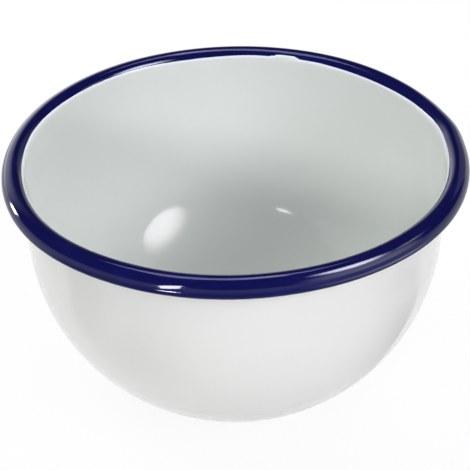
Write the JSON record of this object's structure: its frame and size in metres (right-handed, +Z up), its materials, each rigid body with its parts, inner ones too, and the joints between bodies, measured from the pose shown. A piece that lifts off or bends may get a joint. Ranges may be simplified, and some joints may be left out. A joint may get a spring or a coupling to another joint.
{
  "type": "enamelled steel bowl",
  "caption": "Deep round enamelware bowl: pressed sheet steel with a flat base and an outward rolled bead, white enamel inside and out and blue enamel on the rim.",
  "frame": {"origin": "centre of the flat standing face", "axes": "+Z up along the bowl's axis, from the standing face to the rim; the bowl is the same all round"},
  "size_m": [0.14, 0.14, 0.0776],
  "materials": {
    "sheet_steel": "bare pressed sheet, sealed under the enamel",
    "ground_enamel": "fired dark ground coat, under the cover coats",
    "white_enamel": "glossy white vitreous enamel",
    "blue_enamel": "glossy dark blue vitreous enamel"
  },
  "bodies": {
    "root": {"steel_shell": "sheet_steel", "inner_ground_coat": "ground_enamel", "outer_ground_coat": "ground_enamel", "inner_white_coat": "white_enamel", "outer_white_coat": "white_enamel", "blue_rim_coat": "blue_enamel"}
  },
  "joints": []
}
